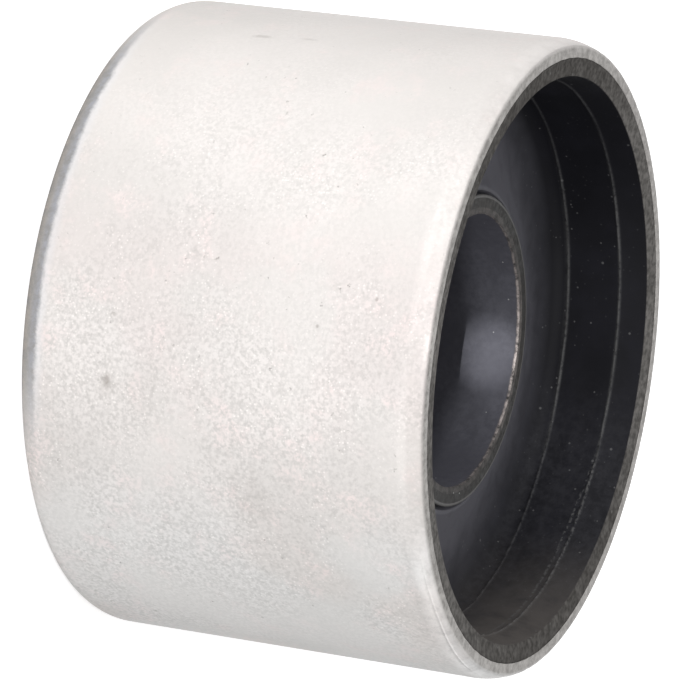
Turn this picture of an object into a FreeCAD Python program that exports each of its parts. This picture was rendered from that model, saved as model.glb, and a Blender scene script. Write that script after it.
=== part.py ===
import FreeCAD, Part
import os

# Rubber-metal bush: a moulded rubber spring bonded between two steel tubes.
# Everything is turned or moulded round one axis, so each piece is one section in
# the (radius, height) half-plane, revolved once round +Z.
# Millimetres. +Z runs along the bush and out of its open end. The origin is the
# middle of the foot end, on the plane that the bush stands on.

# Outer sleeve: steel tube, its lead-ins rounded so that it presses into an eye.
OUTER_DIAMETER = 60.0
OUTER_LENGTH = 39.5
OUTER_WALL = 1.7
OPEN_LEAD_LENGTH = 2.6
OPEN_LEAD_DEPTH = 0.6
FOOT_LEAD_LENGTH = 1.6
FOOT_LEAD_DEPTH = 0.5
BORE_EDGE_BREAK = 0.15

# Inner sleeve: shorter steel tube, centred along the outer one.
INNER_DIAMETER = 29.5
INNER_LENGTH = 23.2
INNER_WALL = 1.85
INNER_BORE_CHAMFER = 0.15
INNER_RIM_ROUND = 0.2

# Rubber lining: the thin skin up the inside of the outer sleeve.
LINING_RECESS = 0.25
LINING_MOUTH_THICKNESS = 1.75
LINING_THICKNESS = 2.2
LINING_LIP_ROUND = 0.3

# Flash lines: two fine ridges that the mould's joints leave round the lining's wall,
# one where its drafted mouth ends and one where the bowl begins.
MOUTH_FLASH_DEPTH = 3.0
BOWL_FLASH_DEPTH = 8.4
FLASH_HEIGHT = 0.12
FLASH_WIDTH = 0.36

# Bowl: the hollow face of the rubber between the lining and the inner sleeve. A fine
# groove runs round the inner sleeve where the rubber draws back from its rim.
BOWL_CORNER_RADIUS = 2.2
BOWL_SHOULDER_DROP = 0.4
BOWL_SAG = 0.6
RIM_GROOVE_WIDTH = 0.4
RIM_GROOVE_DEPTH = 0.6

# Places that follow from the sizes above.
OUTER_RADIUS = OUTER_DIAMETER / 2
OUTER_BORE_RADIUS = OUTER_RADIUS - OUTER_WALL
INNER_RADIUS = INNER_DIAMETER / 2
INNER_BORE_RADIUS = INNER_RADIUS - INNER_WALL
LINING_MOUTH_RADIUS = OUTER_BORE_RADIUS - LINING_MOUTH_THICKNESS
LINING_RADIUS = OUTER_BORE_RADIUS - LINING_THICKNESS
MID_HEIGHT = OUTER_LENGTH / 2
RUBBER_GRIP_HALF_LENGTH = INNER_LENGTH / 2 - BOWL_SHOULDER_DROP - RIM_GROOVE_DEPTH


def at(radius, height):
    """A point of a section: its distance from the axis and its height."""
    return FreeCAD.Vector(radius, 0, height)


def line(start, end):
    return Part.LineSegment(start, end).toShape()


def bowed(start, end, sag):
    """An arc from start to end whose middle stands off the chord by sag, to its left."""
    chord = end - start
    left = FreeCAD.Vector(-chord.z, 0, chord.x).normalize()
    crown = (start + end) * 0.5 + left * sag
    return Part.Arc(start, crown, end).toShape()


def tangent_sag(run, rise):
    """The sag of an arc that leaves along its run and has risen by rise at the end of it.

    The arc's radius is (run^2 + rise^2) / (2 rise), and its sag is that radius less the
    distance from its centre to the chord.
    """
    radius = (run**2 + rise**2) / (2 * rise)
    half_chord_squared = (run**2 + rise**2) / 4
    return radius - (radius**2 - half_chord_squared) ** 0.5


def polyline(points):
    return [line(start, end) for start, end in zip(points, points[1:])]


def revolved(edges):
    """The solid that a closed chain of section edges makes when it turns once round the axis."""
    chain = Part.sortEdges(edges)[0]
    face = Part.Face(Part.Wire(chain))
    solid = face.revolve(FreeCAD.Vector(0, 0, 0), FreeCAD.Vector(0, 0, 1), 360)
    return solid if solid.Volume > 0 else solid.reversed()


def outer_sleeve():
    """Plain tube with a lead-in arc on each outer edge and its bore edges broken."""
    foot_corner = at(OUTER_RADIUS - FOOT_LEAD_DEPTH, 0)
    foot_shoulder = at(OUTER_RADIUS, FOOT_LEAD_LENGTH)
    open_shoulder = at(OUTER_RADIUS, OUTER_LENGTH - OPEN_LEAD_LENGTH)
    open_corner = at(OUTER_RADIUS - OPEN_LEAD_DEPTH, OUTER_LENGTH)
    bore = [
        open_corner,
        at(OUTER_BORE_RADIUS + BORE_EDGE_BREAK, OUTER_LENGTH),
        at(OUTER_BORE_RADIUS, OUTER_LENGTH - BORE_EDGE_BREAK),
        at(OUTER_BORE_RADIUS, BORE_EDGE_BREAK),
        at(OUTER_BORE_RADIUS + BORE_EDGE_BREAK, 0),
        foot_corner,
    ]
    edges = [
        bowed(foot_corner, foot_shoulder, -tangent_sag(FOOT_LEAD_LENGTH, FOOT_LEAD_DEPTH)),
        line(foot_shoulder, open_shoulder),
        bowed(open_shoulder, open_corner, -tangent_sag(OPEN_LEAD_LENGTH, OPEN_LEAD_DEPTH)),
    ]
    return revolved(edges + polyline(bore))


def inner_sleeve():
    """Plain tube, chamfered into its bore and rounded on the rims that the rubber grips."""
    top = MID_HEIGHT + INNER_LENGTH / 2
    foot = MID_HEIGHT - INNER_LENGTH / 2
    outside = [at(INNER_RADIUS, foot + INNER_RIM_ROUND), at(INNER_RADIUS, top - INNER_RIM_ROUND)]
    rim_top = at(INNER_RADIUS - INNER_RIM_ROUND, top)
    rim_foot = at(INNER_RADIUS - INNER_RIM_ROUND, foot)
    bore = [
        rim_top,
        at(INNER_BORE_RADIUS + INNER_BORE_CHAMFER, top),
        at(INNER_BORE_RADIUS, top - INNER_BORE_CHAMFER),
        at(INNER_BORE_RADIUS, foot + INNER_BORE_CHAMFER),
        at(INNER_BORE_RADIUS + INNER_BORE_CHAMFER, foot),
        rim_foot,
    ]
    round_sag = tangent_sag(INNER_RIM_ROUND, INNER_RIM_ROUND)
    edges = [
        line(*outside),
        bowed(outside[1], rim_top, -round_sag),
        bowed(rim_foot, outside[0], -round_sag),
    ]
    return revolved(edges + polyline(bore))


def flash_line(height):
    """The section of a flash line at this height: the wall, the ridge's crest, the wall."""
    return [
        at(LINING_RADIUS, height + FLASH_WIDTH / 2),
        at(LINING_RADIUS - FLASH_HEIGHT, height),
        at(LINING_RADIUS, height - FLASH_WIDTH / 2),
    ]


def rubber_face():
    """Section edges of one end of the rubber, from the outer sleeve's bore to the inner sleeve.

    Drawn for the open end. The lining's flat lip turns over a small round into a drafted
    mouth, the wall goes on straight below the first flash line, and at the second one it
    rolls into the bowl, which rises again to a shoulder just below the inner sleeve's end
    and falls into the groove beside it.
    """
    lip = OUTER_LENGTH - LINING_RECESS
    lip_edge = at(LINING_MOUTH_RADIUS + LINING_LIP_ROUND, lip)
    mouth = at(LINING_MOUTH_RADIUS, lip - LINING_LIP_ROUND)
    mouth_flash = flash_line(OUTER_LENGTH - MOUTH_FLASH_DEPTH)
    bowl_flash = flash_line(OUTER_LENGTH - BOWL_FLASH_DEPTH)
    wall_foot = bowl_flash[-1]
    corner_end = wall_foot - at(BOWL_CORNER_RADIUS, BOWL_CORNER_RADIUS)
    groove_foot = at(INNER_RADIUS, MID_HEIGHT + RUBBER_GRIP_HALF_LENGTH)
    shoulder = groove_foot + at(RIM_GROOVE_WIDTH, RIM_GROOVE_DEPTH)
    wall = polyline([mouth] + mouth_flash + bowl_flash)
    return wall + [
        line(at(OUTER_BORE_RADIUS, lip), lip_edge),
        bowed(lip_edge, mouth, -tangent_sag(LINING_LIP_ROUND, LINING_LIP_ROUND)),
        bowed(wall_foot, corner_end, tangent_sag(BOWL_CORNER_RADIUS, BOWL_CORNER_RADIUS)),
        bowed(corner_end, shoulder, BOWL_SAG),
        line(shoulder, groove_foot),
    ]


def bond(radius, half_length):
    """The straight edge along a sleeve's wall where the rubber is bonded to it."""
    return line(at(radius, MID_HEIGHT - half_length), at(radius, MID_HEIGHT + half_length))


def rubber_body():
    """One moulded spring, alike at both ends, that fills the gap between the sleeves."""
    open_end = rubber_face()
    foot_end = [edge.mirror(at(0, MID_HEIGHT), FreeCAD.Vector(0, 0, 1)) for edge in open_end]
    outer_bond = bond(OUTER_BORE_RADIUS, OUTER_LENGTH / 2 - LINING_RECESS)
    inner_bond = bond(INNER_RADIUS, RUBBER_GRIP_HALF_LENGTH)
    return revolved(open_end + foot_end + [outer_bond, inner_bond])


PIECES = {
    "outer_sleeve": outer_sleeve,
    "rubber_body": rubber_body,
    "inner_sleeve": inner_sleeve,
}

os.makedirs("parts", exist_ok=True)
for node, build in PIECES.items():
    shape = build()
    shape.exportStep(f"parts/{node}.step")
    print(f"{node}: {shape.Volume:.0f} mm3, valid {shape.isValid()}, {len(shape.Faces)} faces")
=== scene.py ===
# %% [markdown]
# # A rubber-metal bush
# A bush of this kind is a rubber spring bonded between two steel tubes. The outer
# tube is pressed into the eye of an arm, the inner one takes a pin, and the rubber
# between them lets the pin twist and rock a little. Everything on it is round, so
# every surface here is one profile turned about the Z axis. What makes it look real
# is what happens on that profile: worn edges, moulding flash, dust and satin metal.

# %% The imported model
import math
import bpy
import numpy as np
from mathutils import Matrix, Vector


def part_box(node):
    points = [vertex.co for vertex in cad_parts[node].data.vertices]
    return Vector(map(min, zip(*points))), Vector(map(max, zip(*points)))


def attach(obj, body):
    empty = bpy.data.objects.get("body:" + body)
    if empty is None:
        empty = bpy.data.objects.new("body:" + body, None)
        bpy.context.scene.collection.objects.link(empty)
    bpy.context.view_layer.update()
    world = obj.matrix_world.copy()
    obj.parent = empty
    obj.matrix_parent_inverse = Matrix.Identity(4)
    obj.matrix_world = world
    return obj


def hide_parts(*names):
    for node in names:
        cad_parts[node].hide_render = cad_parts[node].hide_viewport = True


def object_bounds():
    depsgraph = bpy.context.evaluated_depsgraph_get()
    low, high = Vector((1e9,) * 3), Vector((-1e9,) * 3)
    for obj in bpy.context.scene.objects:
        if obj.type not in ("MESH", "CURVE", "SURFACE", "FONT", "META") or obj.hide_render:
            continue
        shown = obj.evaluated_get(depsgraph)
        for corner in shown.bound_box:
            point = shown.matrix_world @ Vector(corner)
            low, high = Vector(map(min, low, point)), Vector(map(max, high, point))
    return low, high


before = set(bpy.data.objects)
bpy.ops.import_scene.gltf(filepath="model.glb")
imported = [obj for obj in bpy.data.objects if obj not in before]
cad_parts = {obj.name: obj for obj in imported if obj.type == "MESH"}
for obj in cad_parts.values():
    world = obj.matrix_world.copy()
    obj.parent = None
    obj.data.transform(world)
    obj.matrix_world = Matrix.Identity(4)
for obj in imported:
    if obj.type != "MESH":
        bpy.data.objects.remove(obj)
cad_low, cad_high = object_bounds()
print("bush:", [round(1000 * side, 2) for side in cad_high - cad_low], "mm")

# %% [markdown]
# ## Sizes
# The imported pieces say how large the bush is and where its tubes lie, so those sizes
# are read from their boxes. The few that no box can show, such as a wall's inner side,
# are the construction's own and stand beside the piece that needs them. Everything is
# in metres, so millimetres are written with a factor.

# %% Sizes
MM = 0.001
HEIGHT = cad_high.z
RADIUS = cad_high.x
INNER_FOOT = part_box("inner_sleeve")[0].z
INNER_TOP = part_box("inner_sleeve")[1].z
INNER_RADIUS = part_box("inner_sleeve")[1].x
BOND_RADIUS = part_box("rubber_body")[1].x
LINING_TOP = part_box("rubber_body")[1].z
print(f"inner tube from {INNER_FOOT / MM:.2f} to {INNER_TOP / MM:.2f} mm high")
print(f"rubber bonded to the sleeve at a radius of {BOND_RADIUS / MM:.2f} mm")

# %% [markdown]
# ## Camera
# The bush stands on its foot end and is seen from a little above its open end,
# through a long lens, so that near and far edges hardly differ in scale. The camera
# is rolled on its side: the bush's axis then runs across the view, which is how
# such a part looks when it lies on a bench.

# %% Camera
CAMERA_LENS = 245.2
CAMERA_PLACE = Vector((0.0, -402.7 * MM, 191.3 * MM))
CAMERA_AIM = Vector((0.59 * MM, 0.0, 18.35 * MM))
CAMERA_ROLL = math.radians(97.68)
CAMERA_REACH = (0.01, 20.0)


def aimed(place, aim, roll=0.0):
    """The matrix of an object at place whose -Z looks at aim, turned by roll about that line."""
    turn = (aim - place).to_track_quat("-Z", "Y").to_matrix() @ Matrix.Rotation(roll, 3, "Z")
    return Matrix.Translation(place) @ turn.to_4x4()


camera = bpy.data.objects.new("camera", bpy.data.cameras.new("camera"))
camera.data.lens = CAMERA_LENS
camera.data.clip_start, camera.data.clip_end = CAMERA_REACH
camera.matrix_world = aimed(CAMERA_PLACE, CAMERA_AIM, CAMERA_ROLL)
bpy.context.scene.collection.objects.link(camera)
bpy.context.scene.camera = camera
sight = CAMERA_PLACE - CAMERA_AIM
print("camera looks down by", round(math.degrees(math.asin(sight.z / sight.length)), 1), "degrees")

# %% [markdown]
# ## Node helpers
# A material is a small network of nodes. Written out in full, each node takes three or
# four lines, so these helpers keep one line per node: `add` makes a node and fills or
# links its sockets, and the others are the few sums and blends that every finish needs.

# %% Sums and ramps


def add(tree, kind, inputs=None, **settings):
    """A node of this kind; inputs maps a socket's name or number to a value or another socket."""
    node = tree.nodes.new(kind)
    for name, value in settings.items():
        setattr(node, name, value)
    for key, value in (inputs or {}).items():
        if isinstance(value, bpy.types.NodeSocket):
            tree.links.new(value, node.inputs[key])
        else:
            node.inputs[key].default_value = value
    return node


def math_node(tree, operation, first, second=0.0, third=0.0, clamp=False):
    """The result socket of one arithmetic step. MULTIPLY_ADD gives first times second plus third."""
    inputs = {0: first, 1: second, 2: third}
    return add(tree, "ShaderNodeMath", inputs, operation=operation, use_clamp=clamp).outputs[0]


def product(tree, *factors):
    """The socket of all these numbers and sockets multiplied together."""
    total = factors[0]
    for factor in factors[1:]:
        total = math_node(tree, "MULTIPLY", total, factor)
    return total


def spread(tree, amount, start, end):
    """A socket that goes straight from start to end while amount goes from 0 to 1."""
    return math_node(tree, "MULTIPLY_ADD", amount, end - start, start)


def ramp(tree, value, low, high):
    """A socket that rises smoothly from 0 to 1 while value goes from low to high."""
    inputs = {0: value, 1: low, 2: high}
    return add(tree, "ShaderNodeMapRange", inputs, interpolation_type="SMOOTHSTEP").outputs[0]


# %% Colours and patterns


def blend_colours(tree, amount, first, second, blend_type="MIX"):
    """The colour socket of first turning into second as amount goes from 0 to 1."""
    inputs = {0: amount, 6: first, 7: second}
    return add(tree, "ShaderNodeMix", inputs, data_type="RGBA", blend_type=blend_type).outputs[2]


def tinted(tree, amount, colour, tint):
    """The colour socket of colour, multiplied by tint as amount goes from 0 to 1."""
    return blend_colours(tree, amount, colour, tint, "MULTIPLY")


def grey(level, warmth=0.0):
    """A grey as a colour, with a little more red and less blue as warmth rises."""
    return (level * (1 + warmth), level, level * (1 - warmth), 1.0)


def noise(tree, place, scale, detail=2.0, roughness=0.5):
    """The value socket of a cloud noise with this many waves to the metre."""
    inputs = {"Vector": place, "Scale": scale, "Detail": detail, "Roughness": roughness}
    return add(tree, "ShaderNodeTexNoise", inputs).outputs["Fac"]


def specks(tree, place, scale, size, share):
    """Round specks scattered in space: a socket near 1 on a speck and 0 elsewhere.

    The nearest-point distance of a cell pattern is cut off at size, and a cell only
    keeps its speck if its own random number is under share.
    """
    cells = add(tree, "ShaderNodeTexVoronoi", {"Vector": place, "Scale": scale})
    near = math_node(tree, "SUBTRACT", 1.0, ramp(tree, cells.outputs["Distance"], 0.5 * size, size))
    lottery = add(tree, "ShaderNodeSeparateColor", {0: cells.outputs["Color"]}).outputs[0]
    return product(tree, near, math_node(tree, "LESS_THAN", lottery, share))


def zone(tree, name):
    """The socket of a number that the mesh carries for each of its points."""
    return add(tree, "ShaderNodeAttribute", attribute_name=name).outputs["Fac"]


# %% Starting and finishing a material


def new_material(name):
    """An empty material: itself, its node tree, the object's own coordinates, and their x, y and z."""
    material = bpy.data.materials.new(name)
    material.use_nodes = True
    tree = material.node_tree
    place = add(tree, "ShaderNodeTexCoord").outputs["Object"]
    return material, tree, place, add(tree, "ShaderNodeSeparateXYZ", {0: place}).outputs[:3]


def wire_shader(tree, colour, rough, grain, strength, depth):
    """The material's shader, with its colour and roughness linked and grain as its bump."""
    shader = tree.nodes["Principled BSDF"]
    bump = add(tree, "ShaderNodeBump", {"Height": grain, "Strength": strength, "Distance": depth})
    tree.links.new(colour, shader.inputs["Base Color"])
    tree.links.new(rough, shader.inputs["Roughness"])
    tree.links.new(bump.outputs[0], shader.inputs["Normal"])
    return shader


# %% [markdown]
# ## Turned surfaces
# A turned surface is a closed profile of (radius, height) points carried round the
# axis. Blender's Screw modifier could do that too, but then every section would be the
# same. Here the profile is worked out first, run by run, and the whole grid of points
# follows in one array, so that small irregularities that depend on the angle, such as
# a nicked edge, are simply added to it.

# %% Runs of a profile
SAME_POINT = 0.001 * MM


def arc(start, end, sag, count):
    """Points from start to end on a circular arc whose middle lies sag to the left of the chord.

    With half chord h the arc's radius is (h^2 + s^2) / (2 s), and its points are spaced
    evenly in angle about the centre, which lies on the chord's perpendicular bisector.
    """
    start, end = np.array(start), np.array(end)
    half = np.linalg.norm(end - start) / 2
    radius = (half**2 + sag**2) / (2 * abs(sag))
    along = (end - start) / (2 * half)
    left = np.array([-along[1], along[0]]) * np.sign(sag)
    centre = (start + end) / 2 - left * (radius - abs(sag))
    reach = math.asin(min(1.0, half / radius))
    angles = np.linspace(-reach, reach, count)
    return centre + radius * (np.outer(np.sin(angles), along) + np.outer(np.cos(angles), left))


def tangent_sag(run, rise):
    """The sag of an arc that leaves along run and has risen by rise at the end of it.

    Its radius is (run^2 + rise^2) / (2 rise), and the sag is that radius less the
    distance from the arc's centre to its chord.
    """
    radius = (run**2 + rise**2) / (2 * rise)
    return radius - math.sqrt(radius**2 - (run**2 + rise**2) / 4)


def straight(start, end, spacing):
    """Evenly spaced points from start to end, at most spacing apart."""
    start, end = np.array(start), np.array(end)
    count = max(2, math.ceil(np.linalg.norm(end - start) / spacing) + 1)
    return start + np.linspace(0, 1, count)[:, None] * (end - start)


def chain(*runs):
    """One closed profile from runs that each start where the last one ended."""
    points = np.concatenate(runs)
    step = np.linalg.norm(points - np.roll(points, 1, axis=0), axis=1)
    return points[step > SAME_POINT]


# %% Fades, bells and waves


def fade(values, start, end):
    """Numbers that go straight from 0 to 1 while values go from start to end, and stay there."""
    return np.clip((values - start) / (end - start), 0, 1)


def bell(distance, width):
    """A bell curve: e to the power of minus the square of distance over width."""
    return np.exp(-((distance / width) ** 2))


def wander(angle, lowest, highest, seed):
    """A random but repeatable wave round the bush, about -1 to 1, that meets itself after a turn.

    A sum of sines of angle times each whole number from lowest to highest, each with its
    own random phase and weight.
    """
    draw = np.random.default_rng(seed)
    waves = np.arange(lowest, highest + 1)
    weight = draw.uniform(0.3, 1.0, waves.size)
    phase = draw.uniform(0, 2 * np.pi, waves.size)
    total = np.sin(np.multiply.outer(angle, waves) + phase) @ weight
    return total / np.sqrt((weight**2).sum())


# %% A turned piece


def turned(name, profile, steps, shift, marks):
    """A closed surface: profile points (r, z) carried round the axis in so many steps.

    Point (i, j) is (r_j cos a_i, r_j sin a_i, z_j). shift(angle, r, z) gives small
    offsets (dr, dz) for the whole grid. marks maps an attribute's name to one number for
    each profile point. The profile runs anticlockwise in the (r, z) plane, so its faces
    point outwards.
    """
    count = len(profile)
    angle = np.arange(steps) * (2 * np.pi / steps)
    angles, radii = np.meshgrid(angle, profile[:, 0], indexing="ij")
    heights = np.broadcast_to(profile[:, 1], radii.shape)
    offset_r, offset_z = shift(angles, radii, heights)
    radii, heights = radii + offset_r, heights + offset_z
    points = np.stack([radii * np.cos(angles), radii * np.sin(angles), heights], axis=-1)
    i, j = np.meshgrid(np.arange(steps), np.arange(count), indexing="ij")
    here = i * count
    ahead = ((i + 1) % steps) * count
    above = (j + 1) % count
    corners = np.stack([here + j, ahead + j, ahead + above, here + above], axis=-1)

    mesh = bpy.data.meshes.new(name)
    mesh.vertices.add(steps * count)
    mesh.vertices.foreach_set("co", points.astype(np.float32).ravel())
    mesh.loops.add(corners.size)
    mesh.loops.foreach_set("vertex_index", corners.astype(np.int32).ravel())
    mesh.polygons.add(steps * count)
    mesh.polygons.foreach_set("loop_start", np.arange(0, corners.size, 4, dtype=np.int32))
    for mark, values in marks.items():
        layer = mesh.attributes.new(mark, "FLOAT", "POINT")
        layer.data.foreach_set("value", np.tile(values, steps).astype(np.float32))
    mesh.update(calc_edges=True)
    mesh.shade_smooth()
    mesh.validate()
    piece = bpy.data.objects.new(name, mesh)
    bpy.context.scene.collection.objects.link(piece)
    print(f"{name}: {2 * len(mesh.polygons)} triangles")
    return piece


def stand_in(piece, node, material):
    """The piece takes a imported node's place, rides with the bush and gets its finish."""
    piece.data.materials.append(material)
    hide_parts(node)
    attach(piece, "root")
    print(f"{piece.name}: {len(material.node_tree.nodes)} nodes in {material.name}")


# %% [markdown]
# ## Outer sleeve
# A length of steel tube with a lead-in rounded on both outer edges, so that it presses
# into its eye. The open end was faced afterwards: its corner is a little nicked, and a
# shallow crease runs part of the way round the lead-in. The nicks are hundredths of a
# millimetre, but they catch the light, so they are in the mesh and not only in a bump.

# %% Outer sleeve's sizes
OPEN_LEAD = (2.6 * MM, 0.6 * MM)
FOOT_LEAD = (1.6 * MM, 0.5 * MM)
FACE_RADIUS = RADIUS - OPEN_LEAD[1]
FACE_SPACING = 0.08 * MM
SIDE_SPACING = 2.4 * MM
EDGE_BREAK = 0.06 * MM
CORNER_REACH = 0.2 * MM
CORNER_WAY = (0.42, -0.91)
CORNER_BULGE = 0.25
SLEEVE_STEPS = 720


def sleeve_profile():
    """Anticlockwise from the foot's outer corner: lead, side, lead, open face, bore, foot face.

    The open end's outer corner is rounded over CORNER_REACH on either side, so that the
    lead turns into the flat face without an edge. CORNER_WAY is the way that the lead runs
    back from the corner, and CORNER_BULGE an edge's sag as a share of its reach.
    """
    foot_corner = (RADIUS - FOOT_LEAD[1], 0.0)
    foot_shoulder = (RADIUS, FOOT_LEAD[0])
    open_shoulder = (RADIUS, HEIGHT - OPEN_LEAD[0])
    open_corner = (FACE_RADIUS + CORNER_WAY[0] * CORNER_REACH, HEIGHT + CORNER_WAY[1] * CORNER_REACH)
    face_outer = (FACE_RADIUS - CORNER_REACH, HEIGHT)
    face_inner = (BOND_RADIUS + EDGE_BREAK, HEIGHT)
    bore_top = (BOND_RADIUS, HEIGHT - EDGE_BREAK)
    bore_foot = (BOND_RADIUS, EDGE_BREAK)
    foot_inner = (BOND_RADIUS + EDGE_BREAK, 0.0)
    return chain(
        arc(foot_corner, foot_shoulder, -tangent_sag(*FOOT_LEAD), 12),
        straight(foot_shoulder, open_shoulder, SIDE_SPACING),
        arc(open_shoulder, open_corner, -tangent_sag(*OPEN_LEAD), 44),
        arc(open_corner, face_outer, -CORNER_BULGE * CORNER_REACH, 7),
        straight(face_outer, face_inner, FACE_SPACING),
        arc(face_inner, bore_top, -CORNER_BULGE * EDGE_BREAK, 4),
        straight(bore_top, bore_foot, 2 * SIDE_SPACING),
        arc(bore_foot, foot_inner, -CORNER_BULGE * EDGE_BREAK, 4),
        straight(foot_inner, foot_corner, 4 * FACE_SPACING),
    )


# %% Nicks and crease of the open end
# A wavy line is given by its lowest and highest wave round the bush, and a seed.
OUTER_NICKS = (40, 140, 3)
INNER_NICKS = (30, 120, 5)
CREASE_WAVES = (3, 12, 7)
NICK = 0.015 * MM
NICK_FADE = 1.0 * MM
NICK_DROP = 0.6
CREASE = {"depth": 0.75 * MM, "width": 0.08 * MM, "sink": 0.05 * MM, "wobble": 0.05 * MM,
          "middle": -0.52, "reach": 0.35, "inner_radius": BOND_RADIUS + 1.0 * MM}


def nicked_ends(angles, radii, heights):
    """The open end is nicked by hundredths of a millimetre, and a crease runs part of the way round.

    The nicks are two waves, one for the face's outer edge and one for its inner edge, each
    with its share across the face. The crease is a groove with a bell's section across the
    lead, and it fades out round the bush with e to the power of minus the fourth power of
    the angle from its middle over its reach.
    """
    near_open = fade(heights, HEIGHT - NICK_FADE, HEIGHT)
    outer_share = fade(radii, BOND_RADIUS, FACE_RADIUS)
    ragged = NICK * (wander(angles, *OUTER_NICKS) * outer_share
                     + wander(angles, *INNER_NICKS) * (1 - outer_share))
    middle_line = CREASE["depth"] + CREASE["wobble"] * wander(angles, *CREASE_WAVES)
    across = (HEIGHT - heights - middle_line) / CREASE["width"]
    away = np.angle(np.exp(1j * (angles - CREASE["middle"]))) / CREASE["reach"]
    crease = CREASE["sink"] * np.exp(-(across**2) - away**4) * (radii > CREASE["inner_radius"])
    return near_open * ragged - crease, -near_open * np.abs(NICK_DROP * ragged)


# %% Outer sleeve's mesh and its marks
CUT_FACE_RADII = (FACE_RADIUS + 0.05 * MM, FACE_RADIUS - 0.25 * MM)
LEAD_HEIGHTS = (HEIGHT - 2.4 * MM, HEIGHT - 1.2 * MM)
LEAD_RADIUS = BOND_RADIUS + 0.5 * MM

profile = sleeve_profile()
sleeve_marks = {
    "cut_face": fade(profile[:, 0], *CUT_FACE_RADII) * (profile[:, 1] > HEIGHT - CORNER_REACH),
    "lead": fade(profile[:, 1], *LEAD_HEIGHTS) * (profile[:, 0] > LEAD_RADIUS),
}
sleeve = turned("sleeve_shell", profile, SLEEVE_STEPS, nicked_ends, sleeve_marks)

# %% [markdown]
# ## Satin coat
# The sleeve has a thin, pale, satin coat over steel. It isn't one colour: faint clouds,
# a fine grain, tiny sparkles and a few pits lie over each other at different scales, and a
# cool tint of reflected light is painted along one side. An image could show that, but it
# would need an unwrapped mesh and would blur close up. Noises on the bush's own coordinates
# follow any shape, so each layer is a noise cut by a ramp, and the layers are blended in turn.

# %% Satin coat
COAT, COAT_CLOUD = (0.60, 0.576, 0.56, 1), (0.665, 0.635, 0.62, 1)
COAT_BLUSH = (0.70, 0.62, 0.607, 1)
DULL_GRAIN, LIGHT_GRAIN = (0.47, 0.452, 0.438, 1), (0.59, 0.566, 0.55, 1)
SMOOTH_COAT = (0.59, 0.568, 0.548, 1)
SPARKLE, PIT = (0.80, 0.77, 0.75, 1), grey(0.22, 0.06)
SMOOTH_SIDE = (-24 * MM, -6 * MM)


def satin_coat(tree, place, x, peel, pit_noise):
    """The coat's colour: clouds and blush, then grain and sparkle, smoother on one side, then pits."""
    clouds = ramp(tree, noise(tree, place, 60, 3), 0.35, 0.65)
    blush = ramp(tree, noise(tree, place, 230, 3, 0.7), 0.50, 0.75)
    pale = blend_colours(tree, clouds, COAT, COAT_CLOUD)
    pale = blend_colours(tree, blush, pale, COAT_BLUSH)

    grain = ramp(tree, noise(tree, place, 2700, 1.0, 0.7), 0.3, 0.7)
    dull = blend_colours(tree, ramp(tree, peel, 0.25, 0.75), DULL_GRAIN, LIGHT_GRAIN)
    grained = blend_colours(tree, grain, dull, pale)
    wear = noise(tree, place, 210, 3)
    sparkle = product(tree, specks(tree, place, 3100, 0.36, 0.4), ramp(tree, wear, 0.35, 0.6), 0.6)
    grained = blend_colours(tree, sparkle, grained, SPARKLE)

    smooth = blend_colours(tree, 0.5, pale, SMOOTH_COAT)
    coarse = spread(tree, ramp(tree, noise(tree, place, 85), 0.35, 0.65), 0.35, 1.15)
    rough_side = spread(tree, ramp(tree, x, *SMOOTH_SIDE), 0.25, 1.0)
    coarse = math_node(tree, "MULTIPLY", coarse, rough_side, clamp=True)
    coat = blend_colours(tree, coarse, smooth, grained)
    pits = product(tree, ramp(tree, pit_noise, 0.66, 0.76), ramp(tree, wear, 0.42, 0.62), 0.75)
    return blend_colours(tree, pits, coat, PIT)


# %% Tints of the coat
# The first tint is painted: a colder tint of reflected light for the coat's low side.
COLD_REFLECTION_TINT, ROSY_TINT = (1.0, 1.028, 1.04, 1), (1.018, 0.998, 1.0, 1)
COLD_REFLECTION_SIDE = (11 * MM, 22 * MM)
ROSY_MIDDLE = (12 * MM, 5 * MM)


def tinted_coat(tree, place, x, coat):
    """A colder tint of reflected light is painted in clouds along the coat's low side, and the coat is rosier
    in clouds along its middle.
    """
    clouds = noise(tree, place, 65)
    # Painted reflected light: a colder tint in clouds along the low side.
    cold_reflection = product(tree, ramp(tree, x, *COLD_REFLECTION_SIDE), ramp(tree, clouds, 0.38, 0.54))
    coat = tinted(tree, cold_reflection, coat, COLD_REFLECTION_TINT)
    middle = ramp(tree, math_node(tree, "ABSOLUTE", x), *ROSY_MIDDLE)
    rosy = product(tree, middle, ramp(tree, clouds, 0.54, 0.44))
    return tinted(tree, rosy, coat, ROSY_TINT)


# %% [markdown]
# ## Wear and painted light on the sleeve
# Handling has left marks on the coat. Some are single scuffs, and each of those is an
# ellipsoid in space with a ragged edge, which is the simplest way to put a spot at one
# place on a curved side. Near the open end a highlight is painted on the lead in streaks,
# and at the foot's edge a narrow strip is painted darker as shade, with a painted pale
# line above it. Each of these is a zone of heights and sides whose border a noise makes uneven.

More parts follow.
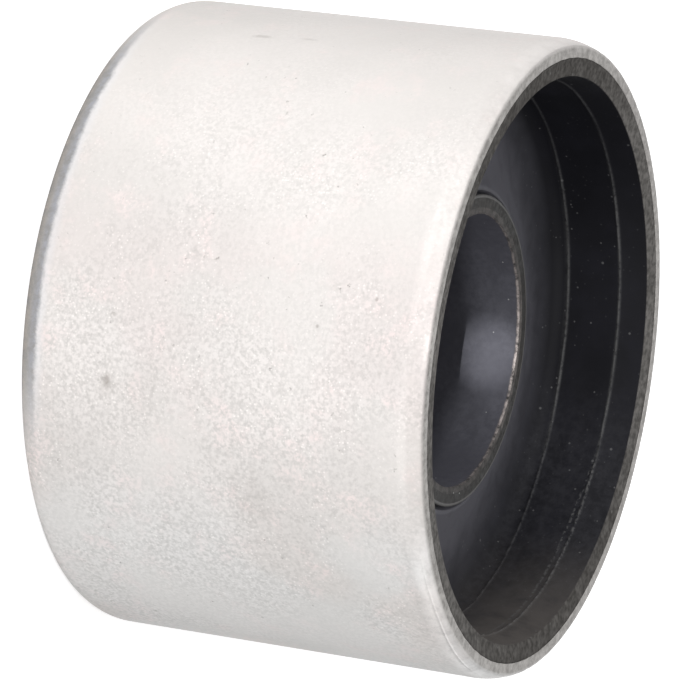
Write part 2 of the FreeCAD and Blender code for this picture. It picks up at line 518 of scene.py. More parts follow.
# %% Scuffs
# Centres and half-lengths in millimetres, and how far each darkens the coat.
SCUFFED = (0.26, 0.235, 0.215, 1)
SCUFFS = (
    {"centre": (6.9, -29.2, 8.8), "reach": (1.0, 1.0, 0.65), "depth": 0.55},
    {"centre": (7.3, -29.1, 8.6), "reach": (2.4, 2.4, 1.6), "depth": 0.12},
    {"centre": (0.9, -30.0, 9.0), "reach": (0.4, 0.4, 0.5), "depth": 0.4},
    {"centre": (-26.2, -14.6, 12.8), "reach": (0.5, 0.5, 1.6), "depth": 0.3},
    {"centre": (-26.4, -14.2, 17.3), "reach": (0.4, 0.4, 1.3), "depth": 0.25},
    {"centre": (-0.4, -30.0, 28.9), "reach": (0.3, 0.3, 0.25), "depth": 0.55},
    {"centre": (-3.4, -29.8, 34.1), "reach": (0.3, 0.3, 0.25), "depth": 0.55},
    {"centre": (15.7, -25.6, 22.9), "reach": (4.0, 4.0, 3.0), "depth": 0.14},
    {"centre": (7.5, -29.0, 12.5), "reach": (5.0, 5.0, 4.0), "depth": 0.08},
)
SCUFF_EDGE = (1.4, 0.7)


def scuffed(tree, place, ragged, colour):
    """Each scuff darkens the colour inside its ellipsoid.

    The distance is the length of (place - centre) / reach, axis by axis. The ragged noise is
    added to it, and the scuff fades out over SCUFF_EDGE.
    """
    for mark in SCUFFS:
        centre, reach = ([MM * length for length in mark[key]] for key in ("centre", "reach"))
        away = add(tree, "ShaderNodeVectorMath", {0: place, 1: centre}, operation="SUBTRACT").outputs[0]
        scaled = add(tree, "ShaderNodeVectorMath", {0: away, 1: reach}, operation="DIVIDE").outputs[0]
        distance = add(tree, "ShaderNodeVectorMath", {0: scaled}, operation="LENGTH").outputs["Value"]
        spot = ramp(tree, math_node(tree, "ADD", distance, ragged), *SCUFF_EDGE)
        colour = blend_colours(tree, product(tree, spot, mark["depth"]), colour, SCUFFED)
    return colour


# %% Painted highlight on the open edge, painted shade at the foot
# The first colour here is a painted highlight on the lead of the open end.
LEAD_HIGHLIGHT = (0.90, 0.87, 0.855, 1)
LEAD_HIGHLIGHT_HEIGHTS = (HEIGHT - 2.3 * MM, HEIGHT - 0.7 * MM)
UPPER_HIGHLIGHT_SIDE, LOWER_HIGHLIGHT_SIDE = (8 * MM, -2 * MM), (13 * MM, 22 * MM)
# The next colours paint the foot's strip: a pale highlight line, then shade in mottled grey tones.
FOOT_HIGHLIGHT = (0.63, 0.65, 0.69, 1)
WARM_FOOT_SHADE, COOL_FOOT_SHADE, DARK_FOOT_SHADE = (0.35, 0.325, 0.30, 1), (0.32, 0.325, 0.35, 1), grey(0.25, 0.02)
STRIP_HEIGHT, STRIP_WAVES = 0.85 * MM, 1.1 * MM
STRIP_START, STRIP_END = (16 * MM, 5 * MM), (-29.5 * MM, -20 * MM)


def painted_lead_highlight(tree, place, x, z, coat):
    """A highlight is painted in streaks on the lead of the open end, mostly on its low side."""
    upper = product(tree, ramp(tree, x, *UPPER_HIGHLIGHT_SIDE), 0.28)
    highlight_share = math_node(tree, "MULTIPLY_ADD", ramp(tree, x, *LOWER_HIGHLIGHT_SIDE), 0.85, upper)
    streaks = spread(tree, ramp(tree, noise(tree, place, 420, 4, 0.7), 0.3, 0.6), 0.4, 1.0)
    highlight_share = product(tree, highlight_share, ramp(tree, z, *LEAD_HIGHLIGHT_HEIGHTS), streaks)
    return blend_colours(tree, highlight_share, coat, LEAD_HIGHLIGHT)


def painted_foot_shade(tree, place, x, z, peel, coat):
    """Painted shade, in dark grey tones, up to a ragged line near the foot, and a painted pale highlight just
    above that line.

    The line's height is STRIP_HEIGHT plus a noise times STRIP_WAVES, and the strip runs
    only along one side.
    """
    edge = math_node(tree, "MULTIPLY_ADD", noise(tree, place, 520, 6, 0.8), STRIP_WAVES, STRIP_HEIGHT)
    past_edge = math_node(tree, "SUBTRACT", z, edge)
    strip_side = product(tree, ramp(tree, x, *STRIP_START), ramp(tree, x, *STRIP_END))
    # A pale highlight line is painted just above the strip.
    highlight_line = product(tree, ramp(tree, past_edge, 1.1 * MM, 0.1 * MM), strip_side, 0.35)
    coat = blend_colours(tree, highlight_line, coat, FOOT_HIGHLIGHT)
    # The strip itself is painted darker as shade, in mottled grey tones.
    foot_shade = blend_colours(tree, ramp(tree, z, 0.4 * MM, 1.1 * MM), WARM_FOOT_SHADE, COOL_FOOT_SHADE)
    foot_shade = blend_colours(tree, ramp(tree, peel, 0.3, 0.7), DARK_FOOT_SHADE, foot_shade)
    shade_share = product(tree, ramp(tree, past_edge, 0.4 * MM, -0.2 * MM), strip_side)
    return blend_colours(tree, shade_share, coat, foot_shade)


# %% Outer sleeve's finish
CUT_DARK, CUT_LIGHT = grey(0.235, 0.05), grey(0.43, 0.04)
WORN_SIDE = (-6 * MM, -22 * MM)
COAT_METALLIC, CUT_METALLIC = 0.9, 0.3


def sleeve_material():
    """Satin coat with its wear and painted light, and a darker, mottled and less metallic cut face."""
    material, tree, place, (x, y, z) = new_material("satin_sleeve")
    peel = noise(tree, place, 1100, 4, 0.8)
    pit_noise = noise(tree, place, 1500, 3, 0.6)
    coat = satin_coat(tree, place, x, peel, pit_noise)
    coat = scuffed(tree, place, pit_noise, coat)
    coat = painted_lead_highlight(tree, place, x, z, coat)
    coat = tinted_coat(tree, place, x, coat)
    coat = painted_foot_shade(tree, place, x, z, peel, coat)
    mottle = ramp(tree, noise(tree, place, 1300, 4, 0.75), 0.32, 0.68)
    cut_face = zone(tree, "cut_face")
    colour = blend_colours(tree, cut_face, coat, blend_colours(tree, mottle, CUT_DARK, CUT_LIGHT))

    worn_lead = product(tree, zone(tree, "lead"), ramp(tree, y, *WORN_SIDE))
    rough = math_node(tree, "MULTIPLY_ADD", peel, 0.25, 0.32, clamp=True)
    rough = math_node(tree, "ADD", rough, product(tree, worn_lead, 0.26), clamp=True)
    shader = wire_shader(tree, colour, rough, peel, 0.5, 0.06 * MM)
    metal = spread(tree, cut_face, COAT_METALLIC, CUT_METALLIC)
    tree.links.new(metal, shader.inputs["Metallic"])
    shader.inputs["Specular Tint"].default_value = grey(0.55)
    return material


stand_in(sleeve, "outer_sleeve", sleeve_material())

# %% [markdown]
# ## Rubber
# The moulded rubber lines the sleeve, then rolls into a bowl round the inner tube.
# Where the mould's parts met, a thin ragged flash is left: two lines round the wall.
# Both ends are alike, so half a profile is worked out and mirrored. Its points lie
# close together only where a flash line needs them, which keeps the mesh light.

# %% Rubber's sizes
MOUTH_RADIUS = BOND_RADIUS - 1.75 * MM
WALL_RADIUS = BOND_RADIUS - 2.2 * MM
MOUTH_FLASH_DEPTH = 3.0 * MM
BOWL_FLASH_DEPTH = 8.4 * MM
BOWL_CORNER = 2.2 * MM
BOWL_SHOULDER_DROP = 0.4 * MM
BOWL_SAG = 0.6 * MM
RIM_GROOVE = (0.4 * MM, 0.6 * MM)
LIP_ROUND = 0.12 * MM
LIP_CLIMB = 0.2 * MM
FLASH_HALF_FOOT = 0.18 * MM
FLASH_REACH = 0.3 * MM
FLASH_SPACING = 0.05 * MM
WALL_SPACING = 0.6 * MM
LIP_SPACING = 0.25 * MM
GROOVE_SPACING = 0.15 * MM
RUBBER_STEPS = 540


def rubber_half_profile():
    """From the inner tube up to the outer sleeve, for the open end, anticlockwise.

    It starts in the fine crevice beside the inner tube, crosses the bowl, climbs the
    wall and ends where the lip meets the sleeve. The lip rises a little on its way there,
    as rubber does where it crept up the bore in the mould.
    """
    shoulder_height = INNER_TOP - BOWL_SHOULDER_DROP
    wall_foot = (WALL_RADIUS, HEIGHT - BOWL_FLASH_DEPTH - FLASH_HALF_FOOT)
    corner_end = (wall_foot[0] - BOWL_CORNER, wall_foot[1] - BOWL_CORNER)
    shoulder = (INNER_RADIUS + RIM_GROOVE[0], shoulder_height)
    mouth = (MOUTH_RADIUS, LINING_TOP - LIP_ROUND)
    mouth_flash = (WALL_RADIUS, HEIGHT - MOUTH_FLASH_DEPTH)
    lip_edge = (MOUTH_RADIUS + LIP_ROUND, LINING_TOP)
    above_foot = (WALL_RADIUS, wall_foot[1] + FLASH_HALF_FOOT + FLASH_REACH)
    below_flash = (WALL_RADIUS, mouth_flash[1] - FLASH_REACH)
    draft = np.subtract(mouth, mouth_flash)
    above_flash = mouth_flash + draft * FLASH_REACH / np.linalg.norm(draft)
    return chain(
        straight((INNER_RADIUS, shoulder_height - RIM_GROOVE[1]), shoulder, GROOVE_SPACING),
        arc(shoulder, corner_end, -BOWL_SAG, 18),
        arc(corner_end, wall_foot, -tangent_sag(BOWL_CORNER, BOWL_CORNER), 13),
        straight(wall_foot, above_foot, FLASH_SPACING),
        straight(above_foot, below_flash, WALL_SPACING),
        straight(below_flash, mouth_flash, FLASH_SPACING),
        straight(mouth_flash, above_flash, FLASH_SPACING),
        straight(above_flash, mouth, WALL_SPACING),
        arc(mouth, lip_edge, tangent_sag(LIP_ROUND, LIP_ROUND), 6),
        straight(lip_edge, (BOND_RADIUS, LINING_TOP + LIP_CLIMB), LIP_SPACING),
    )


# %% Flash lines of the mould
FLASH_HEIGHT = 0.10 * MM
FLASH_HALF_WIDTH = 0.11 * MM
FLASH_SWAY = 0.05 * MM
FLASH_SEEDS = {MOUTH_FLASH_DEPTH: 11, BOWL_FLASH_DEPTH: 17}
SWAY_WAVES, HEIGHT_WAVES = (2, 30), (12, 150)
HEIGHT_LIMITS = (0.25, 1.6)
FREE_RADIUS = BOND_RADIUS - 1.0 * MM


def ragged_flash(angles, radii, heights):
    """Two ridges that stand inwards from the wall, each with a bell curve as its section.

    A ridge's line sways a little up and down as it goes round, and its height is
    FLASH_HEIGHT times 0.85 plus a wave, kept within HEIGHT_LIMITS.
    """
    inward = np.zeros_like(radii)
    for depth, seed in FLASH_SEEDS.items():
        line = HEIGHT - depth + FLASH_SWAY * wander(angles, *SWAY_WAVES, seed)
        tall = FLASH_HEIGHT * np.clip(0.85 + 0.3 * wander(angles, *HEIGHT_WAVES, seed + 1), *HEIGHT_LIMITS)
        inward += tall * bell(heights - line, FLASH_HALF_WIDTH) * (radii < FREE_RADIUS)
    return -inward, np.zeros_like(radii)


# %% Rubber's mesh and its marks
INNER_BOND_SPACING, OUTER_BOND_SPACING = 2.5 * MM, 4 * MM
FLASH_MARK_WIDTH = 1.3 * FLASH_HALF_WIDTH
LIP_DEPTHS = (0.37 * MM, 0.27 * MM)
# The bowl's sheen is painted: its share rises from the wall's foot in towards the inner tube.
BOWL_SHEEN_RADII, BOWL_SHEEN_POWER = (WALL_RADIUS - 0.5 * MM, WALL_RADIUS - 7.5 * MM), 0.8

open_half = rubber_half_profile()
foot_half = np.stack([open_half[:, 0], HEIGHT - open_half[:, 1]], axis=1)[::-1]
inner_bond = straight(foot_half[-1], open_half[0], INNER_BOND_SPACING)
outer_bond = straight(open_half[-1], foot_half[0], OUTER_BOND_SPACING)[:-1]
profile = chain(foot_half, inner_bond, open_half, outer_bond)
end_depth = np.minimum(profile[:, 1], HEIGHT - profile[:, 1])
flash_bells = sum(bell(end_depth - depth, FLASH_MARK_WIDTH) for depth in FLASH_SEEDS)
rubber_marks = {
    "lip": fade(end_depth, *LIP_DEPTHS),
    "flash": flash_bells * (profile[:, 0] < FREE_RADIUS),
    # The mark below is the share of the bowl's painted sheen.
    "bowl_sheen": fade(profile[:, 0], *BOWL_SHEEN_RADII) ** BOWL_SHEEN_POWER,
}
rubber = turned("rubber_moulding", profile, RUBBER_STEPS, ragged_flash, rubber_marks)

# %% [markdown]
# ## Rubber's black
# Fresh rubber is black with a soft sheen. In the bowl a further sheen is painted in as a
# paler grey, strongest by the inner tube. A film of dust covers the wall's low side and a band
# along the first flash line, and more dust has settled at the mouth. These are thin layers over
# one black, so they are blended over it one by one, each with its own share of cover.

# %% Black, painted sheen and film of dust
FRESH_BLACK, HAZY_BLACK = (0.0044, 0.0044, 0.0066, 1), (0.0076, 0.0076, 0.0112, 1)
# The next colour is the painted sheen of the bowl, a paler bluish grey.
BOWL_SHEEN_GREY = (0.121, 0.120, 0.138, 1)
FILM, SETTLED = (0.026, 0.026, 0.031, 1), (0.090, 0.081, 0.075, 1)
FILM_SIDE = (-2 * MM, 11 * MM)
FILM_LINE_HEIGHT = HEIGHT - MOUTH_FLASH_DEPTH - 0.35 * MM
FILM_LINE_EDGE = (0.9 * MM, 0.2 * MM)
FILM_LINE_SIDE = (5 * MM, 14 * MM)
SETTLED_SIDE = (15 * MM, 29 * MM)
SETTLED_HEIGHTS = (HEIGHT - 14 * MM, HEIGHT - 2 * MM)


def black_with_painted_sheen(tree, haze, smear):
    """Black, hazier in clouds, and paler in the bowl where a sheen is painted."""
    black = blend_colours(tree, ramp(tree, haze, 0.4, 0.7), FRESH_BLACK, HAZY_BLACK)
    uneven = spread(tree, ramp(tree, smear, 0.2, 0.7), 0.82, 1.18)
    return blend_colours(tree, product(tree, zone(tree, "bowl_sheen"), uneven), black, BOWL_SHEEN_GREY)


def dusted_wall(tree, place, x, z, smear, on_wall, black):
    """The film's share is the larger of two: the low side's, and a band's along the first flash line."""
    fine_smear = ramp(tree, noise(tree, place, 1100, 4, 0.75), 0.32, 0.68)
    film = product(tree, spread(tree, fine_smear, 0.12, 0.62), ramp(tree, x, *FILM_SIDE), on_wall)
    off_line = math_node(tree, "ABSOLUTE", math_node(tree, "SUBTRACT", z, FILM_LINE_HEIGHT))
    low_side = ramp(tree, x, *FILM_LINE_SIDE)
    band = product(tree, ramp(tree, off_line, *FILM_LINE_EDGE), low_side, fine_smear, 0.9)
    filmed = blend_colours(tree, math_node(tree, "MAXIMUM", film, band), black, FILM)
    settled = product(tree, ramp(tree, x, *SETTLED_SIDE), ramp(tree, z, *SETTLED_HEIGHTS),
                      ramp(tree, smear, -0.1, 0.6))
    return blend_colours(tree, settled, filmed, SETTLED)


# %% [markdown]
# ## Rubber's lip and flash
# The flat lip has been handled. It is grey and mottled, and darker on two opposite
# sides. The flash lines carry a painted highlight, paler than the wall where they stand up,
# broken low down and faint high up, and beside the first of them a thinner painted
# highlight follows the trace of a second joint. The shape is in the mesh already, so the
# finish only has to say how strongly each stretch is painted. Loose specks of dust lie over everything.

# %% Lip
PALE_LIP = (grey(0.07, 0.05), grey(0.155, 0.05))
DARK_LIP = (grey(0.034, 0.08), grey(0.078, 0.06))
HANDLED_WAY = (0.91, 0.42, 0)
HANDLED_REACH = (12 * MM, 27 * MM)


def handled_lip(tree, place):
    """The lip's colour, darker where the place lies far out along HANDLED_WAY, to either side."""
    along = add(tree, "ShaderNodeVectorMath", {0: place, 1: HANDLED_WAY}, operation="DOT_PRODUCT")
    handled = ramp(tree, math_node(tree, "ABSOLUTE", along.outputs["Value"]), *HANDLED_REACH)
    mottle = ramp(tree, noise(tree, place, 1700, 4, 0.55), 0.3, 0.7)
    pale = blend_colours(tree, mottle, *PALE_LIP)
    dark = blend_colours(tree, mottle, *DARK_LIP)
    patches = ramp(tree, noise(tree, place, 330, 3, 0.6), 0.38, 0.64)
    dark_share = math_node(tree, "MULTIPLY_ADD", patches, 0.4, product(tree, handled, 0.75), clamp=True)
    return blend_colours(tree, dark_share, pale, dark)


# %% Painted highlight on the flash lines
LOW_WALL = (4 * MM, 13 * MM)
HIGH_WALL = (-13 * MM, -23 * MM)
BELOW_FIRST_LINE = (HEIGHT - 5 * MM, HEIGHT - 7 * MM)
TRACE_HEIGHT = HEIGHT - MOUTH_FLASH_DEPTH - 0.15 * MM
TRACE_DROP = -0.65 * MM
TRACE_DROP_SIDE = (5 * MM, 17 * MM)
TRACE_WAVES = 0.3 * MM
TRACE_EDGE = (0.2 * MM, 0.03 * MM)


def painted_flash_highlight(tree, place, x, z, smear, on_wall):
    """How strongly the flash lines' painted highlight pales a place, from 0 to 1.

    The ridges' share is the mesh's own mark times a ragged noise, less where they are
    broken low down, fade below the first line or lie high up. The second trace follows a
    line that sinks by TRACE_DROP towards the low side, and the larger of the two counts.
    """
    nicks = noise(tree, place, 2400, 2, 0.7)
    low_wall = ramp(tree, x, *LOW_WALL)
    broken = product(tree, low_wall, ramp(tree, nicks, 0.6, 0.38))
    ragged = product(tree, ramp(tree, nicks, 0.1, 0.6), spread(tree, broken, 1.0, 0.0))
    fading = product(tree, low_wall, ramp(tree, z, *BELOW_FIRST_LINE))
    kept = spread(tree, fading, 1.0, 0.4)
    high_side = spread(tree, ramp(tree, x, *HIGH_WALL), 1.0, 0.3)
    ridge = product(tree, zone(tree, "flash"), ragged, ramp(tree, smear, 0.1, 0.5), kept, high_side)

    line = math_node(tree, "MULTIPLY_ADD", ramp(tree, x, *TRACE_DROP_SIDE), TRACE_DROP, TRACE_HEIGHT)
    line = math_node(tree, "ADD", line, product(tree, smear, TRACE_WAVES))
    off_line = math_node(tree, "ABSOLUTE", math_node(tree, "SUBTRACT", z, line))
    trace = product(tree, ramp(tree, off_line, *TRACE_EDGE), ramp(tree, nicks, 0.42, 0.62), low_wall, on_wall)
    return math_node(tree, "MAXIMUM", ridge, product(tree, trace, 0.85))


def loose_dust(tree, place, smear):
    """Large and middling specks, and faint fine ones where the smear is strong."""
    large, middling = specks(tree, place, 450, 0.08, 0.6), specks(tree, place, 900, 0.11, 0.35)
    fine = product(tree, specks(tree, place, 1700, 0.2, 0.5), ramp(tree, smear, 0.4, 0.6))
    coarse = math_node(tree, "MAXIMUM", large, middling)
    return math_node(tree, "ADD", product(tree, coarse, 0.26), product(tree, fine, 0.08))


# %% Rubber's finish
# The first grey here is the flash lines' painted highlight.
FLASH_HIGHLIGHT_GREY, SPECK_GREY = grey(0.10), grey(0.25)
ON_WALL = (0.12, 0.0)


def rubber_material():
    """Black with a painted sheen and dust, then the lip, the flash lines' painted highlight and loose specks
    over it.
    """
    material, tree, place, (x, y, z) = new_material("moulded_rubber")
    haze = noise(tree, place, 140, 4, 0.6)
    smear = noise(tree, place, 420, 4, 0.6)
    on_wall = ramp(tree, zone(tree, "bowl_sheen"), *ON_WALL)
    lip = zone(tree, "lip")
    colour = black_with_painted_sheen(tree, haze, smear)
    colour = dusted_wall(tree, place, x, z, smear, on_wall, colour)
    colour = blend_colours(tree, lip, colour, handled_lip(tree, place))
    # The flash ridges and the trace are paled by a painted highlight.
    flash = painted_flash_highlight(tree, place, x, z, smear, on_wall)
    colour = blend_colours(tree, product(tree, flash, 0.75), colour, FLASH_HIGHLIGHT_GREY)
    colour = blend_colours(tree, loose_dust(tree, place, smear), colour, SPECK_GREY)

    rough = spread(tree, haze, 0.58, 0.68)
    rough = math_node(tree, "ADD", rough, product(tree, lip, 0.4), clamp=True)
    shader = wire_shader(tree, colour, rough, noise(tree, place, 6500), 0.2, 0.03 * MM)
    shader.inputs["Specular IOR Level"].default_value = 0.18
    return material


stand_in(rubber, "rubber_body", rubber_material())

# %% [markdown]
# ## Inner tube
# The inner tube is shorter and sits below the sleeve's end. Its rims are rounded where
# the rubber grips them, and the chamfer into its bore was cut quickly: the edge wanders
# and carries small burrs. It is turned in the same way as the sleeve, from a half
# profile that is mirrored, and the burrs are one more wave round the edge.

# %% Inner tube's sizes
BORE_RADIUS = INNER_RADIUS - 1.85 * MM
BORE_CHAMFER = 0.15 * MM
RIM_ROUND = 0.22 * MM
CHAMFER_SAG = 0.08 * MM
CHAMFER_RUN = 0.4 * MM
RING_SPACING, CHAMFER_SPACING = 0.07 * MM, 0.08 * MM
TUBE_STEPS = 560


def tube_half_profile():
    """The open end of the inner tube, anticlockwise: rim, ring, chamfer into the bore."""
    rim_foot = (INNER_RADIUS, INNER_TOP - RIM_ROUND)
    rim_top = (INNER_RADIUS - RIM_ROUND, INNER_TOP)
    ring_edge = (BORE_RADIUS + BORE_CHAMFER, INNER_TOP)
    bore_edge = (BORE_RADIUS, INNER_TOP - BORE_CHAMFER)
    return chain(
        arc(rim_foot, rim_top, -tangent_sag(RIM_ROUND, RIM_ROUND), 7),
        straight(rim_top, ring_edge, RING_SPACING),
        arc(ring_edge, bore_edge, -CHAMFER_SAG, 9),
        straight(bore_edge, (BORE_RADIUS, bore_edge[1] - CHAMFER_RUN), CHAMFER_SPACING),
    )


# %% Burrs of the bore
BURR_DEPTH, BURR_WIDTH = 0.3 * MM, 0.35 * MM
BURR_RADIUS = BORE_RADIUS + 0.8 * MM
FINE_BURR, FINE_WAVES = 0.015 * MM, (30, 140, 23)
BROAD_BURR, BROAD_WAVES = 0.02 * MM, (3, 18, 29)
BURR_RISE = 0.7


def burred_bore(angles, radii, heights):
    """The chamfer's edges wander and carry small burrs: two waves round, in a bell along the bore."""
    depth = np.minimum(heights - INNER_FOOT, INNER_TOP - heights)
    near = bell(depth - BURR_DEPTH, BURR_WIDTH) * (radii < BURR_RADIUS)
    burr = near * (FINE_BURR * wander(angles, *FINE_WAVES) + BROAD_BURR * wander(angles, *BROAD_WAVES))
    return burr, BURR_RISE * burr


# %% Inner tube's mesh and its marks
BORE_SPACING, GRIP_SPACING = 1.5 * MM, 2.5 * MM
RING_DEPTHS = (0.4 * MM, 0.1 * MM)
BURR_MARK_WIDTH, BURR_MARK_RADIUS = 0.11 * MM, BORE_RADIUS + 0.6 * MM
RIM_MARK_DEPTH, RIM_MARK_WIDTH, RIM_MARK_RADIUS = 0.06 * MM, 0.1 * MM, INNER_RADIUS - 0.3 * MM

open_half = tube_half_profile()
foot_half = np.stack([open_half[:, 0], INNER_FOOT + INNER_TOP - open_half[:, 1]], axis=1)[::-1]
bore_wall = straight(open_half[-1], foot_half[0], BORE_SPACING)
bonded_wall = straight(foot_half[-1], open_half[0], GRIP_SPACING)[:-1]
profile = chain(open_half, bore_wall, foot_half, bonded_wall)
end_depth = np.minimum(profile[:, 1] - INNER_FOOT, INNER_TOP - profile[:, 1])
tube_marks = {
    "ring": fade(end_depth, *RING_DEPTHS),
    "burr": bell(end_depth - BORE_CHAMFER, BURR_MARK_WIDTH) * (profile[:, 0] < BURR_MARK_RADIUS),
    "rim": bell(end_depth - RIM_MARK_DEPTH, RIM_MARK_WIDTH) * (profile[:, 0] > RIM_MARK_RADIUS),
}
tube = turned("inner_tube", profile, TUBE_STEPS, burred_bore, tube_marks)

# %% [markdown]
# ## Inner tube's finish
# The bore is smooth and dark, with a faint brushed grain. The end ring is mottled and
# stained. Its outer rim carries a painted highlight, and the burrs along the bore's edge a
# painted glint, more on one side. The marks that the mesh carries say where ring, rim and
# burrs are, so the finish stays right however the profile is changed.

# %% Inner tube's finish
BORE_DARK, BORE_LIGHT = (0.092, 0.092, 0.110, 1), (0.112, 0.112, 0.133, 1)
BORE_BRUSHED = (0.083, 0.083, 0.100, 1)
RING_DARK, RING_LIGHT = (0.010, 0.009, 0.008, 1), grey(0.06, 0.02)
RING_STAIN, RING_SHADE = (0.022, 0.018, 0.015, 1), (0.012, 0.012, 0.013, 1)
# The first two colours here are painted light: the rim's highlight grey and the burrs' pale glint.
RIM_HIGHLIGHT, BURR_GLINT, TUBE_SPECK = grey(0.3, 0.01), (0.68, 0.60, 0.57, 1), grey(0.6)
BURR_GLINT_SIDE = (9 * MM, 12.7 * MM)


def stained_ring(tree, place):
    """The end ring's colour: a fine mottle, then a brown stain and a darker shade in patches."""
    mottle = ramp(tree, noise(tree, place, 1500, 4, 0.75), 0.35, 0.65)
    ring = blend_colours(tree, mottle, RING_DARK, RING_LIGHT)
    stain = product(tree, ramp(tree, noise(tree, place, 260), 0.35, 0.6), 0.5)
    ring = blend_colours(tree, stain, ring, RING_STAIN)
    shade = product(tree, ramp(tree, noise(tree, place, 75), 0.42, 0.6), 0.35)
    return blend_colours(tree, shade, ring, RING_SHADE)


def tube_material():
    """Dark brushed satin, with the ring, the rim's painted highlight, the burrs' painted glint and a few
    specks blended over it.
    """
    material, tree, place, (x, y, z) = new_material("dark_tube")
    fine = noise(tree, place, 1300, 3, 0.7)
    haze = ramp(tree, noise(tree, place, 160, 3), 0.35, 0.7)
    satin = blend_colours(tree, haze, BORE_DARK, BORE_LIGHT)
    satin = blend_colours(tree, ramp(tree, fine, 0.3, 0.7), satin, BORE_BRUSHED)
    colour = blend_colours(tree, zone(tree, "ring"), satin, stained_ring(tree, place))
    # The rim is paled by a painted highlight.
    colour = blend_colours(tree, product(tree, zone(tree, "rim"), 0.5), colour, RIM_HIGHLIGHT)
    # The burred edge is paled by a painted glint, stronger on one side.
    highlight_share = spread(tree, ramp(tree, y, *BURR_GLINT_SIDE), 0.5, 1.15)
    burr = product(tree, zone(tree, "burr"), highlight_share, ramp(tree, fine, 0.30, 0.66))
    colour = blend_colours(tree, burr, colour, BURR_GLINT)
    dust = product(tree, specks(tree, place, 900, 0.10, 0.2), 0.7)
    colour = blend_colours(tree, dust, colour, TUBE_SPECK)

    grain = noise(tree, place, 4200)
    shader = wire_shader(tree, colour, spread(tree, grain, 0.48, 0.58), grain, 0.15, 0.03 * MM)
    shader.inputs["Metallic"].default_value = 0.3
    return material


stand_in(tube, "inner_sleeve", tube_material())

# %% [markdown]
# ## Floor
# A pale light table: the floor glows softly, so a part on it throws no hard shadow and
# its metal side mirrors an even white. A lit plane is simpler than many lamps and can't
# leave spots in the mirror image. It glows a little less towards one side and more
# towards the other, which gives the round side its gentle shading.

# %% Floor
FLOOR_SIZE = 4.0
FLOOR_DROP = 0.05 * MM
FLOOR_GLOW = 0.575
DIM_SIDE, DIM_SHARE = (0.22, 0.45), 0.75
BRIGHT_SIDE, BRIGHT_SHARE = (-0.35, -0.75), 1.30


def floor_material():
    """A glow outside the bush's foot, dimmer or brighter with its heading.

    The heading is x over the distance from the axis, the cosine of the direction's angle.
    """
    material, tree, place, (x, y, z) = new_material("light_table")
    shader = tree.nodes["Principled BSDF"]
    flat = add(tree, "ShaderNodeVectorMath", {0: place, 1: (1, 1, 0)}, operation="MULTIPLY").outputs[0]
    reach = add(tree, "ShaderNodeVectorMath", {0: flat}, operation="LENGTH").outputs["Value"]
    heading = math_node(tree, "DIVIDE", x, reach)
    outside = product(tree, ramp(tree, reach, 0.9 * RADIUS, 1.0 * RADIUS), FLOOR_GLOW)
    dimmer = spread(tree, ramp(tree, heading, *DIM_SIDE), 1.0, DIM_SHARE)
    brighter = spread(tree, ramp(tree, heading, *BRIGHT_SIDE), 1.0, BRIGHT_SHARE)
    tree.links.new(product(tree, outside, dimmer, brighter), shader.inputs["Emission Strength"])
    shader.inputs["Emission Color"].default_value = grey(1.0)
    shader.inputs["Base Color"].default_value = grey(0.8)
    shader.inputs["Roughness"].default_value = 0.8
    return material


half = FLOOR_SIZE / 2
floor_corners = [(-half, -half, 0), (half, -half, 0), (half, half, 0), (-half, half, 0)]
floor_mesh = bpy.data.meshes.new("floor")
floor_mesh.from_pydata(floor_corners, [], [(0, 1, 2, 3)])
floor_mesh.materials.append(floor_material())
floor = bpy.data.objects.new("floor", floor_mesh)
floor.location.z = -FLOOR_DROP
bpy.context.scene.collection.objects.link(floor)

# %% [markdown]
# ## Lamps
# Two soft lamps stand left and right of the camera, low enough to look into the bore
# from the open end. The bore's far side still needs one small bright patch, as where a
# window is mirrored in smooth metal. A lamp large enough to be mirrored there would also
# light the rubber round it, so a third lamp's pencil-thin beam lights just that patch.

# %% Lamps
LAMP_DISTANCE, LAMP_SIZE = 0.7, 0.04


def heading_out(azimuth, elevation):
    """The direction out from the bush at these angles in degrees. Azimuth 0 is the camera's side."""
    turn, lift = math.radians(azimuth), math.radians(elevation)
    return Vector((math.sin(turn) * math.cos(lift), -math.cos(turn) * math.cos(lift), math.sin(lift)))


def hang(light, target, out, distance):
    """The light hangs at this distance from its target, along out, and looks back at it."""
    holder = bpy.data.objects.new(light.name, light)
    holder.matrix_world = aimed(target + distance * out, target)
    bpy.context.scene.collection.objects.link(holder)
    print(f"{light.name}: {light.energy:.2f} W at {1000 * distance:.0f} mm")


def soft_lamp(name, azimuth, elevation, watts):
    """A square soft lamp aimed at the bush's middle."""
    light = bpy.data.lights.new(name, "AREA")
    light.size = LAMP_SIZE
    light.energy = watts
    hang(light, Vector((0, 0, HEIGHT / 2)), heading_out(azimuth, elevation), LAMP_DISTANCE)


soft_lamp("key_lamp", -38, 19.5, 1.7)
soft_lamp("fill_lamp", 33, 19, 1.65)

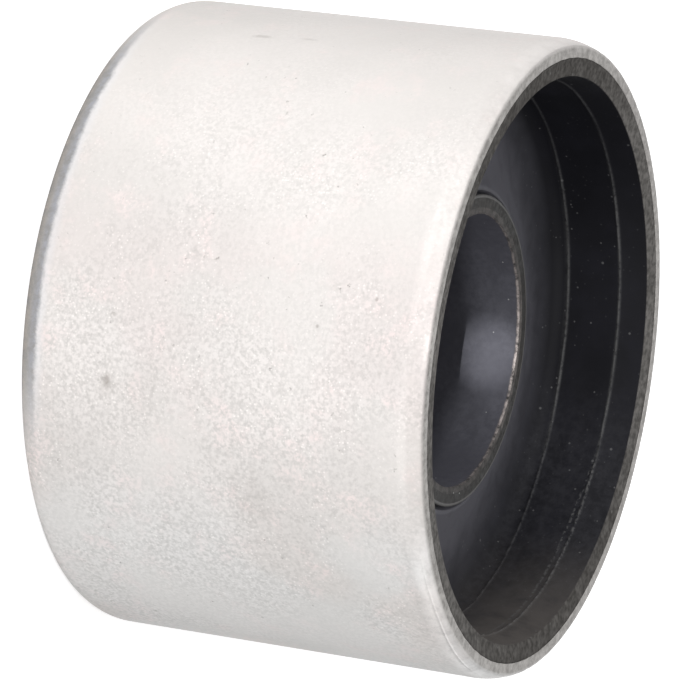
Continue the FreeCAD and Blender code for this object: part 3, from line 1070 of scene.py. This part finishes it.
# %% Pencil lamp in the bore
PENCIL_DISTANCE, PENCIL_RADIUS, PENCIL_SOFTNESS = 0.5, 2.5 * MM, 0.4 * MM
BORE_PATCH = Vector((0, BORE_RADIUS, INNER_TOP - 2.95 * MM))


def pencil_lamp(name, target, azimuth, elevation, watts):
    """A spot lamp with a beam so narrow that it lights one small patch, target, softly.

    The cone's full angle is twice the arc tangent of the patch's radius over the distance.
    """
    light = bpy.data.lights.new(name, "SPOT")
    light.spot_size = 2 * math.atan(PENCIL_RADIUS / PENCIL_DISTANCE)
    light.spot_blend = 1.0
    light.shadow_soft_size = PENCIL_SOFTNESS
    light.energy = watts
    hang(light, target, heading_out(azimuth, elevation), PENCIL_DISTANCE)


pencil_lamp("bore_lamp", BORE_PATCH, 0, 18.6, 9.5)

# %% [markdown]
# ## Light tent
# The room itself is lit like a light tent: brightest on the side of the bush that is
# uppermost in the view, softer elsewhere. Each wall of the tent adds its strength times a
# power of how squarely a direction points at it, so a high power makes a narrow,
# window-like glow. A world made of nodes needs no image of a room.

# %% Light tent
TENT_WALLS = {
    "upper side": {"axis": "X", "side": -1, "power": 8, "strength": 2.0},
    "camera side": {"axis": "Y", "side": -1, "power": 2, "strength": 0.99},
    "far side": {"axis": "Y", "side": 1, "power": 2, "strength": 1.0},
    "lower side": {"axis": "X", "side": 1, "power": 2, "strength": 0.13},
    "open end": {"axis": "Z", "side": 1, "power": 2, "strength": 0.87},
}


def light_tent():
    """A world whose brightness is the sum over the walls of strength times facing to a power."""
    world = bpy.data.worlds.new("light_tent")
    world.use_nodes = True
    tree = world.node_tree
    way = add(tree, "ShaderNodeTexCoord").outputs["Generated"]
    axes = add(tree, "ShaderNodeSeparateXYZ", {0: way})
    total = 0.0
    for wall in TENT_WALLS.values():
        facing = math_node(tree, "MULTIPLY", axes.outputs[wall["axis"]], wall["side"], clamp=True)
        glow = product(tree, math_node(tree, "POWER", facing, wall["power"]), wall["strength"])
        total = math_node(tree, "ADD", glow, total)
    background = tree.nodes["Background"]
    background.inputs["Color"].default_value = grey(1.0)
    tree.links.new(total, background.inputs["Strength"])
    return world


bpy.context.scene.world = light_tent()
bpy.context.scene.view_settings.view_transform = "Standard"
